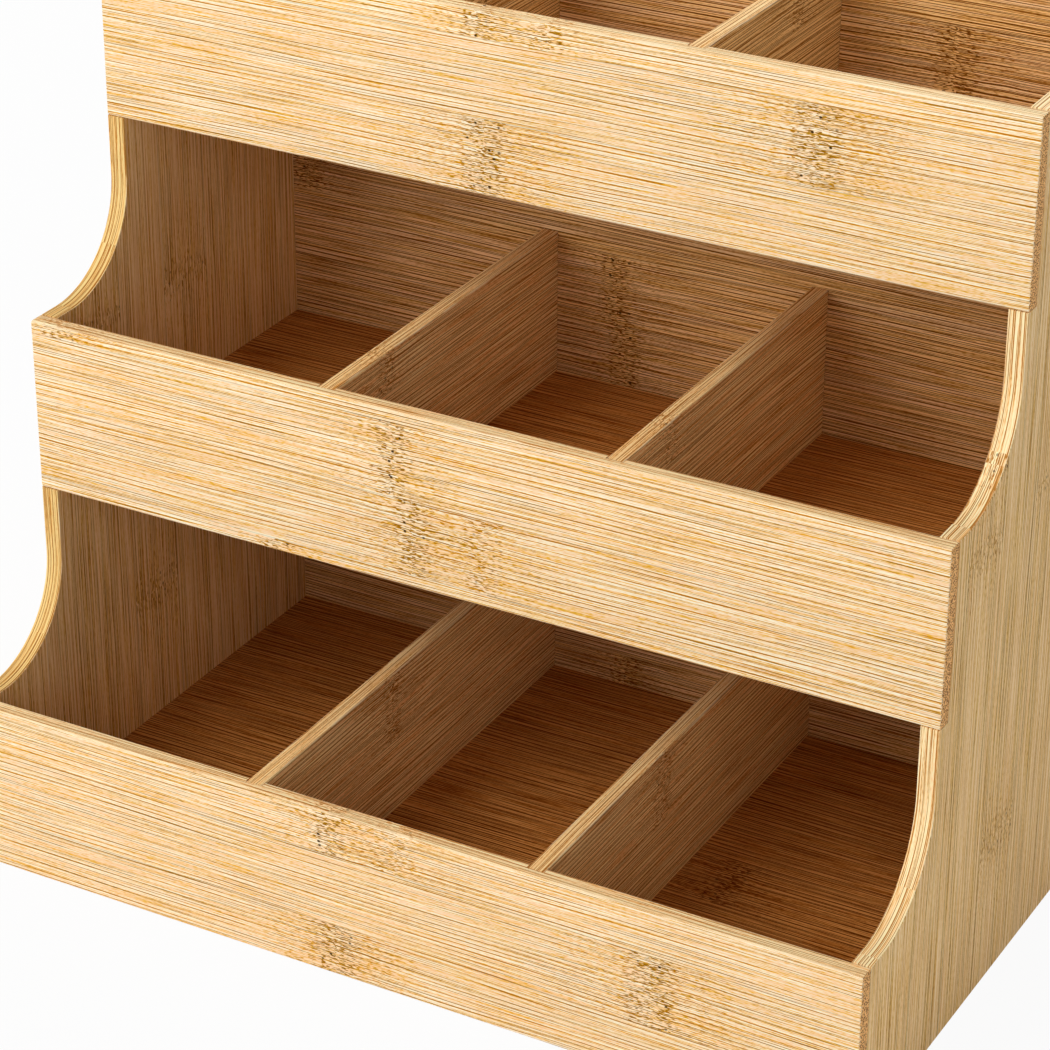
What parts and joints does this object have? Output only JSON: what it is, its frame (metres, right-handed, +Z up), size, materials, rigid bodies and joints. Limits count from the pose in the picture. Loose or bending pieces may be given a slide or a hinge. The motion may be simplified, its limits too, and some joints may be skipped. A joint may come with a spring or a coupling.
{
  "type": "tea bag organizer",
  "caption": "Free-standing stepped bamboo tea bag organizer: open divided compartments rise in tiers between two side panels with coved front edges.",
  "frame": {"origin": "under the middle of the footprint, on the surface that the organizer stands on", "axes": "+X to the right seen from the front, +Y from the front boards to the back panel, +Z up"},
  "size_m": [0.3, 0.1886, 0.273],
  "materials": {
    "side_bamboo": "satin clear finish, upright grain",
    "board_bamboo": "satin clear finish, grain along the board",
    "floor_bamboo": "satin clear finish, grain left to right",
    "back_bamboo": "satin clear finish, grain left to right",
    "divider_bamboo": "satin clear finish, grain front to back"
  },
  "bodies": {
    "root": {"left_side_panel": "side_bamboo", "right_side_panel": "side_bamboo", "back_panel": "back_bamboo", "lower_front_board": "board_bamboo", "middle_front_board": "board_bamboo", "upper_front_board": "board_bamboo", "lower_floor": "floor_bamboo", "middle_floor": "floor_bamboo", "upper_floor": "floor_bamboo", "lower_left_divider": "divider_bamboo", "lower_right_divider": "divider_bamboo", "middle_left_divider": "divider_bamboo", "middle_right_divider": "divider_bamboo", "upper_left_divider": "divider_bamboo", "upper_right_divider": "divider_bamboo"}
  },
  "joints": []
}
